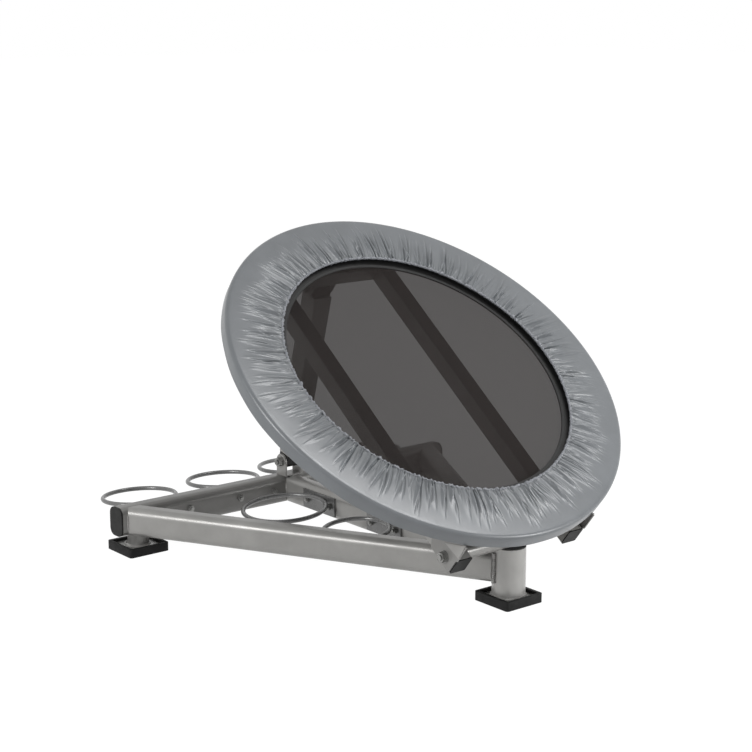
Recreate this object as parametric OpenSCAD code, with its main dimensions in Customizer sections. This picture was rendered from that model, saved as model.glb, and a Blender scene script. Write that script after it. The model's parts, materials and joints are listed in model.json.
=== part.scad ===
// Medicine ball rebounder: a tilted round trampoline on a triangular steel base with ball rings.
// Millimetres, Z up. Front is -Y. The front post stands on the origin, on the floor.

/* [Trampoline] */
// slope of the trampoline from level, degrees
tilt = 37.36; // [30:0.01:45]
// outer radius of the pad cover
cover_r = 457; // [440:1:480]
// thickness of the cover's skirt
cover_t = 1.8; // [1.2:0.1:3]
// depth of the side skirt below the pad's middle
skirt_depth = 28; // [22:1:34]
// radius of the opening in the pad cover
open_r = 329.4; // [310:0.1:350]
// number of gathers round the opening
gathers = 45; // [30:1:45]
// height of the gathers
gather_h = 2; // [0.5:0.1:3]
// gap between the skirt and the ring frame
skirt_gap = 10.2; // [8:0.1:12]
// tube radius of the ring frame
ring_tube_r = 13; // [12:0.5:14]
// wall of the ring frame's tube
ring_tube_t = 2; // [1.5:0.5:3]
// how far the ring frame's centre lies below the pad's middle
ring_drop = 20; // [20:0.5:23]
// how far the mat lies below the pad's middle
mat_drop = 13.5; // [12:0.5:16]
// how far the mat's edge band shows inside the opening
band_reveal = 10.4; // [5:0.1:15]
// width of the mat's edge band
band_w = 27; // [22:0.5:32]
// number of elastic cords
cord_count = 24; // [12:12:24]
// radius of an elastic cord
cord_r = 2.5; // [2:0.5:2.5]

/* [Rails] */
// distance of each rail's centre from the middle
rail_x = 156; // [150:1:165]
// rail tube width and height
rail_s = 40; // [36:1:44]
// rail wall thickness
rail_t = 2; // [1.5:0.5:3]
// corner radius of the rails
rail_corner = 4; // [3.5:0.5:6]
// how far the rails reach past the ring frame above them
rail_over = 21.15; // [15:0.05:28]
// gap between the ring frame and the rails
rail_gap = 40.4; // [30:0.1:50]
// distance of the tilt pivot from the rail's lower end
pivot_inset = 27.6; // [22:0.1:35]
// distance of the top cross tube from the rail's upper end
cross_inset = 39; // [34:1:60]
// thickness of the side gussets
gusset_t = 3.5; // [2:0.5:6]
// width of the standoffs between the rails and the ring frame
standoff_s = 30; // [24:1:34]

/* [Base] */
// height of the lowest line of the base tubes
tube_z0 = 44; // [38:1:50]
// height of the base tube section
tube_h = 66; // [60:1:70]
// width of the base tube section
tube_w = 50; // [46:1:56]
// width of the spine tube
spine_w = 40; // [38:1:44]
// corner radius of the base tube section
tube_r = 17; // [8:0.5:18]
// wall of the base tubes
tube_t = 2.5; // [1.5:0.5:4]
// half length of the back tube
back_half = 467; // [455:1:490]
// distance of the back tube's centre line behind the post
back_y = 770.7; // [755:0.1:800]
// where each side tube's centre line meets the back tube
side_back_x = 426; // [415:1:430]
// where each side tube's centre line passes the post
side_front_x = 12; // [8:1:16]
// radius of the front post
post_r = 35; // [32:0.5:38]
// wall of the front post
post_t = 3; // [2:0.5:5]
// height of the post's top
post_top = 119; // [117:0.5:125]
// distance of the tilt pivot in front of the post's centre
pivot_ahead = 3; // [0:0.5:6]
// outer radius of the pivot sleeve
sleeve_r = 16; // [14:0.5:18]

/* [Feet] */
// side of each square rubber foot
foot_s = 100.5; // [94:0.5:110]
// height of each rubber foot
foot_h = 19.5; // [16:0.5:24]
// thickness of the rubber under the steel plate
sole_t = 8; // [5:0.5:10]
// thickness of the steel foot plates
plate_t = 5; // [3:0.5:6]
// distance of the rear feet from the middle
foot_x = 411.8; // [400:0.1:420]
// how far the rear feet lie behind the back tube's centre line
foot_back = 5.3; // [0:0.1:10]
// radius of the rear feet's stubs
stub_r = 24; // [20:0.5:26]

/* [Ball rings] */
// radius of the ring's steel rod
rod_r = 5; // [3:0.5:5.5]
// ring radius of the back tube's rings
back_ring_r = 84; // [70:1:86]
// ring radius of the spine's rear rings
rear_ring_r = 94; // [70:1:98]
// ring radius of the spine's front rings
front_ring_r = 73; // [60:1:74]
// distance of the outer back rings from the middle
outer_ring_x = 338; // [330:1:345]
// distance of the inner back rings from the middle
inner_ring_x = 105; // [100:1:120]
// distance of the spine's rear rings behind the post
rear_ring_y = 614; // [600:1:625]
// distance of the spine's front rings behind the post
front_ring_y = 378; // [375:1:390]
// droop of each ring below level, degrees
ring_droop = 4; // [0:0.5:6]
// height of a ring above its plate's middle
ring_rise = 12; // [5:1:14]
// thickness of a ring's plate
ring_plate_t = 4; // [3:0.5:6]
// height of a ring's plate
ring_plate_h = 44; // [36:1:50]
// half the bolt spacing on the back tube
back_spread = 48; // [40:1:52]
// half the bolt spacing on the spine
spine_spread = 41; // [36:1:46]
// radius of the plate bolts
ring_bolt_r = 4; // [3:0.5:5]

/* [Strut] */
// how far the strut's foot pin lies ahead of the back tube's centre line
foot_pin_ahead = 12; // [8:0.1:16]
// height of the foot pin above the base tubes
foot_pin_rise = 34; // [30:0.5:40]
// outer strut tube width
strut_s = 50; // [48:1:54]
// inner strut tube width
inner_s = 40; // [36:1:42]
// wall of the strut tubes
strut_t = 2; // [1.5:0.5:3]
// length of the inner strut tube
inner_len = 285; // [250:1:290]
// distance of the outer tube's lower end from the foot pin
outer_start = 150; // [145:1:165]
// radius of the pivot bolts
pin_r = 6; // [5:0.5:7]
// clearance of the top pivot, which takes up the strut's swing
top_clearance = 1.6; // [1.6:0.1:2]
// thickness of the bracket ears
ear_t = 4; // [3:0.5:6]
// radius of the strut's end eyes and the bracket ears
ear_r = 18; // [16:0.5:20]

/* [Hidden] */
$fn = 96;

silver = [0.74, 0.74, 0.73];
black = [0.08, 0.08, 0.08];
steel = [0.6, 0.6, 0.6];
vinyl = [0.66, 0.68, 0.72];

// sizes of the trampoline's frame, measured in its own tilted frame
ring_r = cover_r - cover_t - skirt_gap - ring_tube_r;
ring_w = -ring_drop;
mat_w = -mat_drop;
rail_w = ring_w - ring_tube_r - rail_gap - rail_s / 2;
rail_side = rail_x + rail_s / 2;
rail_half = sqrt(pow(ring_r, 2) - pow(rail_x, 2)) + rail_over;
pivot_v = pivot_inset - rail_half;
cross_v = rail_half - cross_inset;
band_in = open_r - band_reveal;
band_out = band_in + band_w;
band_t = 5;
mat_t = 1;
mat_hem = 16;
rest_gap = 0.05;

// the tilt pivot lies in a saddle on the post, and the trampoline hangs from it
saddle_depth = 2;
pivot_y = -pivot_ahead;
pivot_z = post_top + sleeve_r - saddle_depth;
tramp_y = pivot_y - pivot_v * cos(tilt) + rail_w * sin(tilt);
tramp_z = pivot_z - pivot_v * sin(tilt) - rail_w * cos(tilt);
washer_gap = 1.3;
sleeve_half = rail_x - rail_s / 2 - washer_gap;
sleeve_t = 3;
bush_len = 24;
run_gap = 0.05;
hole_gap = 0.1;

// heights of the base
tube_mid = tube_z0 + tube_h / 2;
tube_top = tube_z0 + tube_h;
plate_top = sole_t + plate_t;
foot_y = back_y + foot_back;
back_bolt_z = tube_mid + 3;
spine_bolt_z = tube_mid - 2;
back_face = back_y - tube_w / 2;
side_angle = atan2(side_back_x - side_front_x, back_face);
side_len = sqrt(pow(side_back_x - side_front_x, 2) + pow(back_face, 2));
cut_h = 2 * tube_top;

// the strut runs from its foot pin to the bracket under the cross tube
foot_pin_y = back_y - foot_pin_ahead;
foot_pin_z = tube_top + foot_pin_rise;
top_drop = ear_r + 2;
top_w = rail_w - rail_s / 2 - top_drop;
top_y = tramp_y + cross_v * cos(tilt) - top_w * sin(tilt);
top_z = tramp_z + cross_v * sin(tilt) + top_w * cos(tilt);
strut_len = sqrt(pow(foot_pin_y - top_y, 2) + pow(top_z - foot_pin_z, 2));
strut_lean = atan2(foot_pin_y - top_y, top_z - foot_pin_z);
eye_r = ear_r - 2;
tube_end = 20;
plug_len = 25;
inner_plug = inner_s - 2 * strut_t;
outer_bore = strut_s - 2 * strut_t;
foot_ear_in = inner_s / 2 + 1;
top_ear_in = strut_s / 2 + 1;
strut_corner = 4;
bush_len_in = 50;
bush_rim = 3;
knob_up = 28;
knob_z = outer_start + knob_up;
knob_r = 5;
boss_r = 13;
boss_len = 14;

// fasteners
bolt_af = 19;
bolt_head = 7.5;
nut_len = 10;
washer_r = 12;
washer_t = 2;
small_af = 13;
small_head = 5.5;
small_nut = 6.5;

module in_tramp() {
  translate([0, tramp_y, tramp_z]) rotate([tilt, 0, 0]) children();
}

module in_strut() {
  translate([0, foot_pin_y, foot_pin_z]) rotate([strut_lean, 0, 0]) children();
}

module round_rect(w, h, r) {
  union() {
    square([w - 2 * r, h], center = true);
    square([w, h - 2 * r], center = true);
    for (sx = [-1, 1]) {
      for (sy = [-1, 1]) {
        translate([sx * (w / 2 - r), sy * (h / 2 - r)]) circle(r = r);
      }
    }
  }
}

// the outline of a base tube and of its bore
module tube_outline(w, h = tube_h) {
  round_rect(w, h, tube_r);
}

module bore_outline(w, inset, h = tube_h) {
  round_rect(w - 2 * inset, h - 2 * inset, tube_r - inset);
}

// a solid bar of the base tube section along +Y, at the base tubes' height
module tube_solid(w, len) {
  translate([0, 0, tube_mid]) rotate([-90, 0, 0]) linear_extrude(height = len) tube_outline(w);
}

module base_tube(w, len, h = tube_h) {
  translate([0, 0, tube_mid]) rotate([-90, 0, 0]) linear_extrude(height = len) difference() {
    tube_outline(w, h);
    bore_outline(w, tube_t, h);
  }
}

module along_back() {
  translate([-back_half, back_y, 0]) rotate([0, 0, -90]) children();
}

// the solid bar that cuts the ends of what is welded to the back tube
module back_solid() {
  along_back() tube_solid(tube_w, 2 * back_half);
}

module square_tube(s, t, r, len) {
  linear_extrude(height = len) difference() {
    round_rect(s, s, r);
    round_rect(s - 2 * t, s - 2 * t, r - t + 0.5);
  }
}

module bar_x(r, x0, x1) {
  translate([x0, 0, 0]) rotate([0, 90, 0]) cylinder(r = r, h = x1 - x0);
}

module bar_y(r, y0, y1) {
  translate([0, y0, 0]) rotate([-90, 0, 0]) cylinder(r = r, h = y1 - y0);
}

module hex_x(across, x0, x1) {
  translate([x0, 0, 0]) rotate([0, 90, 0]) cylinder(r = across / sqrt(3), h = x1 - x0, $fn = 6);
}

module hex_y(across, y0, y1) {
  translate([0, y0, 0]) rotate([-90, 0, 0]) cylinder(r = across / sqrt(3), h = y1 - y0, $fn = 6);
}

// places of the plate bolts on the back tube and on the spine
module at_back_bolts() {
  for (x = [-outer_ring_x, -inner_ring_x, inner_ring_x, outer_ring_x]) {
    for (d = [-back_spread, back_spread]) {
      translate([x + d, back_y, back_bolt_z]) children();
    }
  }
}

module at_spine_bolts() {
  for (y = [front_ring_y, rear_ring_y]) {
    for (d = [-spine_spread, spine_spread]) {
      translate([0, y + d, spine_bolt_z]) children();
    }
  }
}

module back_tube() {
  color(silver) difference() {
    along_back() base_tube(tube_w, 2 * back_half);
    at_back_bolts() bar_y(ring_bolt_r + hole_gap, -tube_w, tube_w);
  }
}

module spine_tube() {
  color(silver) difference() {
    base_tube(spine_w, back_y);
    cylinder(r = post_r, h = cut_h);
    back_solid();
    translate([-tube_w, back_y, 0]) cube([2 * tube_w, tube_w, cut_h]);
    at_spine_bolts() bar_x(ring_bolt_r + hole_gap, -spine_w, spine_w);
  }
}

// the right side tube, coped against the post, the spine and the back tube
module side_tube() {
  reach = tube_w;
  lip = 10;
  lower = 1;
  front_trim = 7;
  difference() {
    translate([side_front_x, 0, 0]) rotate([0, 0, -side_angle]) translate([0, -tube_w, 0])
      base_tube(tube_w, tube_w + side_len + reach, tube_h - lower);
    cylinder(r = post_r, h = cut_h);
    back_solid();
    translate([-cover_r, back_face + lip, 0]) cube([4 * cover_r, 4 * tube_w, cut_h]);
    translate([-2 * tube_w, -3 * tube_w, 0]) cube([6 * tube_w, 3 * tube_w + front_trim, cut_h]);
    translate([-tube_w, -2 * tube_w, 0]) cube([tube_w + spine_w / 2, 6 * tube_w, cut_h]);
  }
}

module left_side_tube() {
  color(silver) mirror([1, 0, 0]) side_tube();
}

module right_side_tube() {
  color(silver) side_tube();
}

module pivot_bar(r, half) {
  translate([0, pivot_y, pivot_z]) bar_x(r, -half, half);
}

module front_post() {
  weld = 4;
  color(silver) difference() {
    union() {
      translate([0, 0, plate_top]) cylinder(r = post_r, h = post_top - plate_top);
      translate([0, 0, plate_top]) cylinder(r1 = post_r + weld, r2 = post_r, h = weld);
    }
    translate([0, 0, plate_top - 1]) cylinder(r = post_r - post_t, h = post_top);
    pivot_bar(sleeve_r, 2 * post_r);
  }
}

module post_plug() {
  depth = 16;
  lid = 2;
  wall = 3;
  bore = post_r - post_t;
  color(black) difference() {
    union() {
      translate([0, 0, post_top - depth]) cylinder(r = bore, h = depth);
      translate([0, 0, post_top]) cylinder(r = post_r, h = lid);
    }
    translate([0, 0, post_top - depth - 1]) cylinder(r = bore - wall, h = depth - wall);
    pivot_bar(sleeve_r, 2 * post_r);
  }
}

module pivot_sleeve() {
  color(silver) difference() {
    pivot_bar(sleeve_r, sleeve_half);
    pivot_bar(sleeve_r - sleeve_t, sleeve_half + 1);
  }
}

module sleeve_bushes() {
  rim = washer_gap - hole_gap;
  color([0.9, 0.9, 0.86]) translate([0, pivot_y, pivot_z]) for (m = [0, 1]) mirror([m, 0, 0]) difference() {
    union() {
      bar_x(sleeve_r - sleeve_t, sleeve_half - bush_len, sleeve_half);
      bar_x(sleeve_r, sleeve_half, sleeve_half + rim);
    }
    bar_x(pin_r + run_gap, sleeve_half - bush_len - 1, sleeve_half + 2 * rim);
  }
}

module tube_cap() {
  lid = 4;
  depth = 16;
  wall = 3;
  union() {
    linear_extrude(height = lid) tube_outline(tube_w);
    translate([0, 0, -depth]) linear_extrude(height = depth) difference() {
      bore_outline(tube_w, tube_t);
      bore_outline(tube_w, tube_t + wall);
    }
  }
}

module back_right_cap() {
  color(black) translate([back_half, back_y, tube_mid]) rotate([0, 90, 0]) rotate([0, 0, 90]) tube_cap();
}

module back_left_cap() {
  color(black) mirror([1, 0, 0]) translate([back_half, back_y, tube_mid]) rotate([0, 90, 0])
    rotate([0, 0, 90]) tube_cap();
}

pocket_s = foot_s - 15.5;

module foot_plate() {
  color(steel) translate([0, 0, sole_t]) linear_extrude(height = plate_t)
    round_rect(pocket_s - 1, pocket_s - 1, 3);
}

module foot_rubber() {
  groove_edge = 15;
  groove_w = 7;
  groove_out = foot_s - 2 * groove_edge;
  groove_in = groove_out - 2 * groove_w;
  groove_depth = 1.5;
  color(black) difference() {
    linear_extrude(height = foot_h) round_rect(foot_s, foot_s, 6);
    translate([0, 0, sole_t]) linear_extrude(height = foot_h) round_rect(pocket_s, pocket_s, 3.4);
    translate([0, 0, -groove_depth]) linear_extrude(height = 2 * groove_depth) difference() {
      round_rect(groove_out, groove_out, 4);
      round_rect(groove_in, groove_in, 3);
    }
  }
}

module foot_stub() {
  weld = 4;
  wall = 3;
  step = 8;
  color(silver) difference() {
    union() {
      translate([0, 0, plate_top]) cylinder(r = stub_r, h = tube_mid - plate_top);
      translate([0, 0, plate_top]) cylinder(r1 = stub_r + weld, r2 = stub_r, h = weld);
    }
    translate([-foot_x, -foot_y, 0]) back_solid();
    translate([-2 * stub_r, tube_w / 2 - foot_back, tube_z0 + step])
      cube([4 * stub_r, stub_r, tube_h]);
    translate([-2 * stub_r, tube_r - foot_back - tube_w / 2 - 2 * stub_r, tube_z0])
      cube([4 * stub_r, 2 * stub_r, tube_h]);
    translate([0, 0, plate_top - 1]) cylinder(r = stub_r - wall, h = tube_top);
  }
}

module at_left_foot() {
  mirror([1, 0, 0]) translate([foot_x, foot_y, 0]) children();
}

module at_right_foot() {
  translate([foot_x, foot_y, 0]) children();
}

module front_foot_plate() {
  foot_plate();
}

module front_foot_rubber() {
  foot_rubber();
}

module left_foot_stub() {
  at_left_foot() foot_stub();
}

module left_foot_plate() {
  at_left_foot() foot_plate();
}

module left_foot_rubber() {
  at_left_foot() foot_rubber();
}

module right_foot_stub() {
  at_right_foot() foot_stub();
}

module right_foot_plate() {
  at_right_foot() foot_plate();
}

module right_foot_rubber() {
  at_right_foot() foot_rubber();
}

// two ears with a web: a fork open along +Z, its pin on the X axis
module fork(inner, drop, web_t) {
  for (x = [-inner - ear_t, inner]) {
    translate([x, -ear_r, -drop]) cube([ear_t, 2 * ear_r, drop]);
    bar_x(ear_r, x, x + ear_t);
  }
  translate([-inner - ear_t, -ear_r, -drop]) cube([2 * (inner + ear_t), 2 * ear_r, web_t]);
}

module strut_bracket() {
  web_t = 3;
  color(silver) translate([0, foot_pin_y, foot_pin_z]) difference() {
    fork(foot_ear_in, foot_pin_rise, web_t);
    bar_x(pin_r + hole_gap, -strut_s, strut_s);
  }
}

// a long bolt through a fork, its head on the +X side
module fork_bolt(face, tail) {
  union() {
    bar_x(pin_r, -face - washer_t - nut_len - tail, face);
    hex_x(bolt_af, face, face + bolt_head);
  }
}

module fork_nut(face) {
  difference() {
    union() {
      bar_x(washer_r, -face - washer_t, -face);
      hex_x(bolt_af, -face - washer_t - nut_len, -face - washer_t);
    }
    bar_x(pin_r, -face - washer_t - 2 * nut_len, -face + 1);
  }
}

bolt_tail = 3;

module strut_foot_bolt() {
  color(steel) translate([0, foot_pin_y, foot_pin_z]) fork_bolt(foot_ear_in + ear_t, bolt_tail);
}

module strut_foot_nut() {
  color(steel) translate([0, foot_pin_y, foot_pin_z]) fork_nut(foot_ear_in + ear_t);
}

// a ball ring with its plate: the plate stands on the XZ plane and the ring reaches towards +Y
module ball_ring(r, spread) {
  edge = 18;
  sunk = 0.8;
  color(steel) union() {
    difference() {
      translate([-spread - edge, 0, -ring_plate_h / 2])
        cube([2 * (spread + edge), ring_plate_t, ring_plate_h]);
      for (d = [-spread, spread]) {
        translate([d, 0, 0]) bar_y(ring_bolt_r + hole_gap, -1, 2 * ring_plate_t);
      }
    }
    translate([0, ring_plate_t - sunk, ring_rise]) rotate([-ring_droop, 0, 0])
      translate([0, r + rod_r, 0]) rotate_extrude() translate([r, 0]) circle(r = rod_r);
  }
}

module back_ring(x) {
  translate([x, back_y + tube_w / 2, back_bolt_z]) ball_ring(back_ring_r, back_spread);
}

module spine_ring(r, y, right) {
  mirror([right, 0, 0]) translate([-spine_w / 2, y, spine_bolt_z]) rotate([0, 0, 90])
    ball_ring(r, spine_spread);
}

module back_ring_left_outer() {
  back_ring(-outer_ring_x);
}

module back_ring_left_inner() {
  back_ring(-inner_ring_x);
}

module back_ring_right_inner() {
  back_ring(inner_ring_x);
}

module back_ring_right_outer() {
  back_ring(outer_ring_x);
}

module spine_ring_left_rear() {
  spine_ring(rear_ring_r, rear_ring_y, 0);
}

module spine_ring_left_front() {
  spine_ring(front_ring_r, front_ring_y, 0);
}

module spine_ring_right_rear() {
  spine_ring(rear_ring_r, rear_ring_y, 1);
}

module spine_ring_right_front() {
  spine_ring(front_ring_r, front_ring_y, 1);
}

module back_ring_bolts() {
  half = tube_w / 2;
  color(steel) at_back_bolts() {
    bar_y(ring_bolt_r, -half - small_nut - bolt_tail, half + ring_plate_t);
    hex_y(small_af, -half - small_nut, -half);
    hex_y(small_af, half + ring_plate_t, half + ring_plate_t + small_head);
  }
}

module spine_ring_bolts() {
  half = spine_w / 2 + ring_plate_t;
  color(steel) at_spine_bolts() {
    bar_x(ring_bolt_r, -half - small_nut - bolt_tail, half);
    hex_x(small_af, -half - small_nut, -half);
    hex_x(small_af, half, half + small_head);
  }
}

module rail_at(x) {
  translate([x, -rail_half, rail_w]) rotate([-90, 0, 0])
    square_tube(rail_s, rail_t, rail_corner, 2 * rail_half);
}

module pivot_hole(x0, x1) {
  translate([0, pivot_v, rail_w]) bar_x(pin_r + hole_gap, x0, x1);
}

module left_rail() {
  color(silver) in_tramp() difference() {
    rail_at(-rail_x);
    pivot_hole(-rail_x - rail_s, -rail_x + rail_s);
  }
}

module right_rail() {
  color(silver) in_tramp() difference() {
    rail_at(rail_x);
    pivot_hole(rail_x - rail_s, rail_x + rail_s);
  }
}

module rail_cap() {
  lid = 2.5;
  depth = 14;
  wall = 2;
  plug = rail_s - 2 * rail_t;
  plug_corner = rail_corner - rail_t + 0.5;
  union() {
    linear_extrude(height = lid) round_rect(rail_s, rail_s, rail_corner);
    translate([0, 0, -depth]) linear_extrude(height = depth) difference() {
      round_rect(plug, plug, plug_corner);
      round_rect(plug - 2 * wall, plug - 2 * wall, plug_corner / 2);
    }
  }
}

module rail_lower_caps() {
  color(black) in_tramp() for (x = [-rail_x, rail_x]) {
    translate([x, -rail_half, rail_w]) rotate([90, 0, 0]) rail_cap();
  }
}

module rail_upper_caps() {
  color(black) in_tramp() for (x = [-rail_x, rail_x]) {
    translate([x, rail_half, rail_w]) rotate([-90, 0, 0]) rail_cap();
  }
}

module ring_solid(inset) {
  translate([0, 0, ring_w]) rotate_extrude() translate([ring_r, 0]) circle(r = ring_tube_r - inset);
}

// the plate outside a rail's lower end that carries the ring frame, drawn for the right side
module gusset() {
  edge = 2;
  foot_long = 66;
  waist_long = 90;
  ring_long = 60;
  ring_start = 18;
  nose = 3;
  skirt_gap_w = 0.6;
  front = -rail_half - nose;
  low = rail_w - rail_s / 2 + edge;
  shoulder = rail_w + rail_s / 2;
  top = ring_w - 4;
  under = -skirt_depth - skirt_gap_w;
  skirt_in = cover_r - cover_t - 2;
  skirt_v = 1 - sqrt(pow(skirt_in, 2) - pow(rail_side + gusset_t, 2));
  outline = [[-rail_half, low], [foot_long - rail_half, low], [waist_long - rail_half, shoulder + edge],
    [ring_long - rail_half, ring_w], [ring_start - rail_half, top], [skirt_v, top], [skirt_v, under],
    [front, under], [front, shoulder], [-rail_half, shoulder]];
  color(silver) difference() {
    translate([rail_side, 0, 0]) rotate([90, 0, 90]) linear_extrude(height = gusset_t) polygon(outline);
    ring_solid(0);
    pivot_hole(rail_x, rail_x + 2 * rail_s);
  }
}

module left_gusset() {
  in_tramp() mirror([1, 0, 0]) gusset();
}

module right_gusset() {
  in_tramp() gusset();
}

// the short square tube between a rail's upper end and the ring frame
module standoff(x) {
  seat_v = sqrt(pow(ring_r, 2) - pow(rail_x, 2));
  rail_top = rail_w + rail_s / 2;
  color(silver) in_tramp() difference() {
    translate([x, seat_v, rail_top]) square_tube(standoff_s, 2, 3, ring_w - rail_top);
    ring_solid(0);
  }
}

module left_standoff() {
  standoff(-rail_x);
}

module right_standoff() {
  standoff(rail_x);
}

module top_cross_tube() {
  color(silver) in_tramp() translate([rail_s / 2 - rail_x, cross_v, rail_w]) rotate([90, 0, 90])
    square_tube(rail_s, rail_t, rail_corner, 2 * rail_x - rail_s);
}

module at_top_pin() {
  in_tramp() translate([0, cross_v, top_w]) children();
}

module strut_top_bracket() {
  color(silver) at_top_pin() difference() {
    mirror([0, 0, 1]) fork(top_ear_in, top_drop, 2.5);
    bar_x(pin_r + hole_gap, -2 * strut_s, 2 * strut_s);
  }
}

module strut_top_bolt() {
  color(steel) at_top_pin() fork_bolt(top_ear_in + ear_t, bolt_tail);
}

module strut_top_nut() {
  color(steel) at_top_pin() fork_nut(top_ear_in + ear_t);
}

module hinge_bolt() {
  color(steel) in_tramp() translate([0, pivot_v, rail_w]) fork_bolt(rail_side + gusset_t, bolt_tail);
}

module hinge_nut() {
  color(steel) in_tramp() translate([0, pivot_v, rail_w]) fork_nut(rail_side + gusset_t);
}

module ring_frame() {
  color(silver) in_tramp() difference() {
    ring_solid(0);
    ring_solid(ring_tube_t);
  }
}

module mat() {
  color([0.12, 0.12, 0.12]) in_tramp() translate([0, 0, mat_w - mat_t / 2])
    cylinder(r = band_in + mat_hem, h = mat_t);
}

module mat_band() {
  color([0.03, 0.03, 0.03]) in_tramp() translate([0, 0, mat_w]) rotate_extrude() difference() {
    translate([band_in, -band_t / 2]) square([band_w, band_t]);
    translate([band_in - 1, -mat_t / 2]) square([mat_hem + 1, mat_t]);
  }
}

// elastic cords from the mat's band to loops round the ring frame
module bungee_cords() {
  loop_r = ring_tube_r + cord_r + rest_gap;
  reach = ring_r - sqrt(pow(loop_r, 2) - pow(mat_w - ring_w, 2));
  color([0.05, 0.05, 0.05]) in_tramp() for (k = [0 : cord_count - 1]) {
    rotate([0, 0, k * 360 / cord_count]) {
      translate([0, 0, mat_w]) bar_x(cord_r, band_out + rest_gap, reach);
      translate([ring_r, 0, ring_w]) rotate([90, 0, 0]) rotate_extrude()
        translate([loop_r, 0]) circle(r = cord_r);
    }
  }
}

// heights of the pad above its middle plane
foam_top = 1.6;
cover_top = 4;
cover_under = 2.2;
pad_corner = 9;
foam_rest = 0.35;

// soft foam under the cover, resting on the ring frame
module foam_pad() {
  side = cover_r - cover_t - pad_corner;
  seat = ring_w + ring_tube_r + 2 * cord_r + foam_rest;
  start = hem_out + 6;
  color([0.2, 0.2, 0.2]) in_tramp() rotate_extrude() polygon([[start, seat], [side, seat],
    [side, foam_top - 1], [side - 2, foam_top], [start + 8, foam_top - 0.9], [start, foam_top - 1.6]]);
}

// the cover's section at one angle, round its outside and back along its inside: radius and height
hem_r = 3.3;
hem_out = open_r + 2 * hem_r + 0.3;
pad_w = cover_r - pad_corner - open_r;
function cover_section(g) = [[hem_out, 3.2 + g], [open_r + 0.19 * pad_w, cover_top + 1.4 * g],
  [open_r + 0.46 * pad_w, cover_top + 0.8 * g], [open_r + 0.72 * pad_w, cover_top + 0.2 * g],
  [cover_r - pad_corner, cover_top], [cover_r - 2.6, 1.6], [cover_r, -4.5],
  [cover_r, -skirt_depth], [cover_r - cover_t, -skirt_depth], [cover_r - cover_t, -5],
  [cover_r - 5, 0.6], [cover_r - pad_corner, cover_under], [hem_out, 1]];
cover_n = len(cover_section(0));
cover_steps = 2 * gathers;

function turned(p, a) = [p[0] * cos(a), p[0] * sin(a), p[1]];

cover_points = [for (k = [0 : cover_steps - 1]) for (p = cover_section(k % 2 == 0 ? gather_h : 0))
  turned(p, k * 360 / cover_steps)];

function cover_at(k, i) = (k % cover_steps) * cover_n + i % cover_n;

cover_faces = [for (k = [0 : cover_steps - 1]) for (i = [0 : cover_n - 1]) for (half = [0, 1])
  half == 0 ? [cover_at(k, i), cover_at(k, i + 1), cover_at(k + 1, i + 1)]
    : [cover_at(k, i), cover_at(k + 1, i + 1), cover_at(k + 1, i)]];

// the gathered vinyl cover with its side skirt
module pad_cover() {
  color(vinyl) in_tramp() polyhedron(points = cover_points, faces = cover_faces);
}

module elastic_hem() {
  color([0.85, 0.86, 0.88]) in_tramp() translate([0, 0, 2]) rotate_extrude()
    translate([open_r + hem_r, 0]) circle(r = hem_r);
}

module strut_foot_block() {
  side_gap = 0.2;
  half = foot_ear_in - side_gap;
  color(black) in_strut() difference() {
    union() {
      bar_x(eye_r, -half, half);
      translate([-inner_s / 2, -eye_r, 0]) cube([inner_s, 2 * eye_r, tube_end]);
      translate([0, 0, tube_end]) linear_extrude(height = plug_len)
        round_rect(inner_plug - hole_gap, inner_plug - hole_gap, strut_corner - 1);
    }
    bar_x(pin_r + run_gap, -strut_s, strut_s);
  }
}

module strut_inner_tube() {
  color(silver) in_strut() translate([0, 0, tube_end])
    square_tube(inner_s, strut_t, strut_corner - 1, inner_len);
}

module strut_outer_tube() {
  color(silver) in_strut() difference() {
    union() {
      translate([0, 0, outer_start])
        square_tube(strut_s, strut_t, strut_corner, strut_len - tube_end - outer_start);
      translate([0, 0, knob_z]) bar_y(boss_r, strut_s / 2 - strut_t / 2, strut_s / 2 + boss_len);
    }
    translate([0, 0, knob_z]) bar_y(knob_r + run_gap, inner_s / 2, strut_s);
  }
}

module strut_bush() {
  color(black) in_strut() translate([0, 0, outer_start - bush_rim]) difference() {
    union() {
      linear_extrude(height = bush_rim) round_rect(strut_s, strut_s, strut_corner);
      translate([0, 0, bush_rim]) linear_extrude(height = bush_len_in)
        round_rect(outer_bore, outer_bore, strut_corner - strut_t + 0.5);
    }
    translate([0, 0, -1]) linear_extrude(height = bush_len_in + 2 * bush_rim)
      round_rect(inner_s + 2 * run_gap, inner_s + 2 * run_gap, strut_corner - 1);
    translate([0, 0, bush_rim + knob_up]) bar_y(knob_r + 3 * run_gap, 0, strut_s);
  }
}

module strut_top_block() {
  half = top_ear_in - 1;
  color(black) in_strut() translate([0, 0, strut_len]) difference() {
    union() {
      bar_x(eye_r, -half, half);
      translate([-half, -eye_r, -tube_end]) cube([2 * half, 2 * eye_r, tube_end]);
      translate([0, 0, -tube_end - plug_len]) linear_extrude(height = plug_len)
        round_rect(outer_bore - hole_gap, outer_bore - hole_gap, strut_corner - 1);
    }
    bar_x(pin_r + top_clearance, -strut_s, strut_s);
  }
}

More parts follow.
